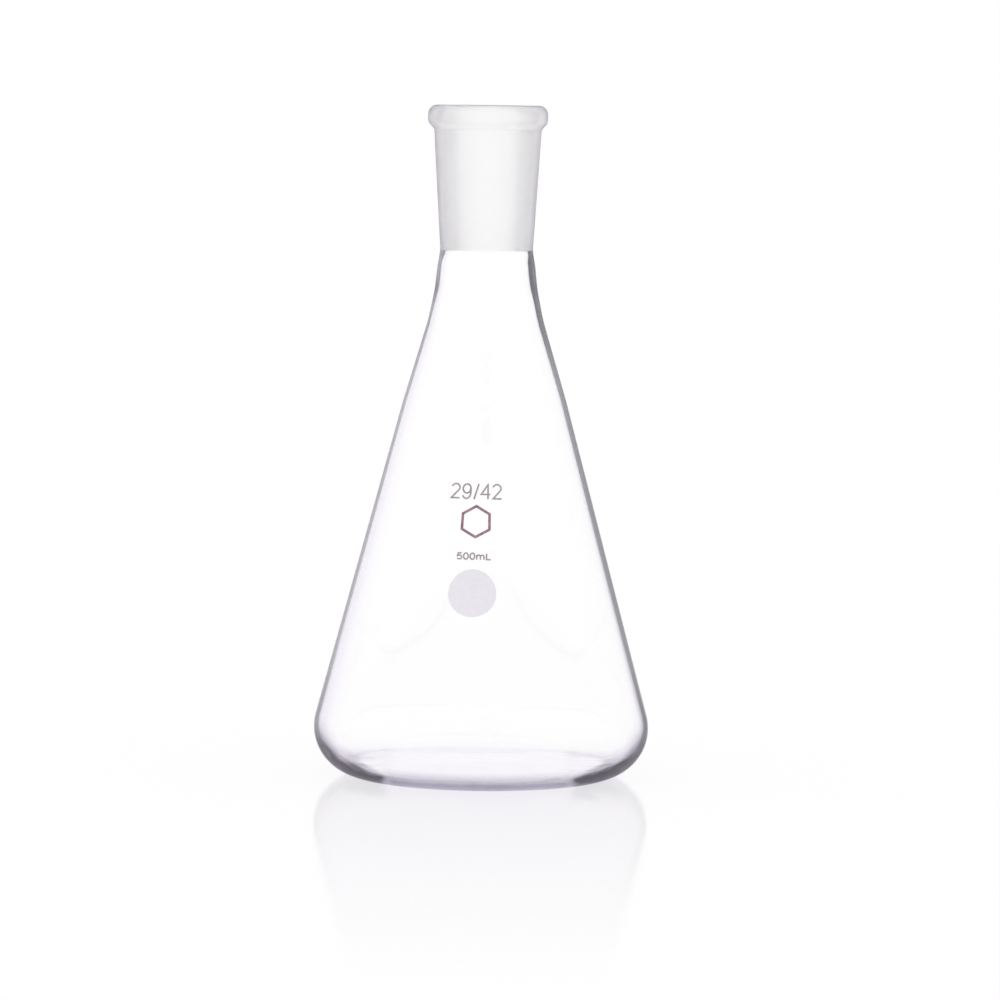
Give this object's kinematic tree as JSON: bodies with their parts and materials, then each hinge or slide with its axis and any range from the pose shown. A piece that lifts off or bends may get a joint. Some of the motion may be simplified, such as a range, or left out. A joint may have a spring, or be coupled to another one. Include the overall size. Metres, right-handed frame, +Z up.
{
  "type": "erlenmeyer flask",
  "caption": "Conical laboratory flask in clear glass, with a ground taper socket and a rolled bead at its rim, standing empty and unstoppered.",
  "frame": {"origin": "centre of the flat ring that the flask stands on", "axes": "+Z up along the flask's axis, out of its mouth; -Y faces the printed marks"},
  "size_m": [0.1024, 0.1024, 0.2051],
  "materials": {
    "clear_glass": "clear fire-polished borosilicate glass, frosted where the socket is ground"
  },
  "bodies": {
    "root": {"flask": "clear_glass"}
  },
  "joints": []
}
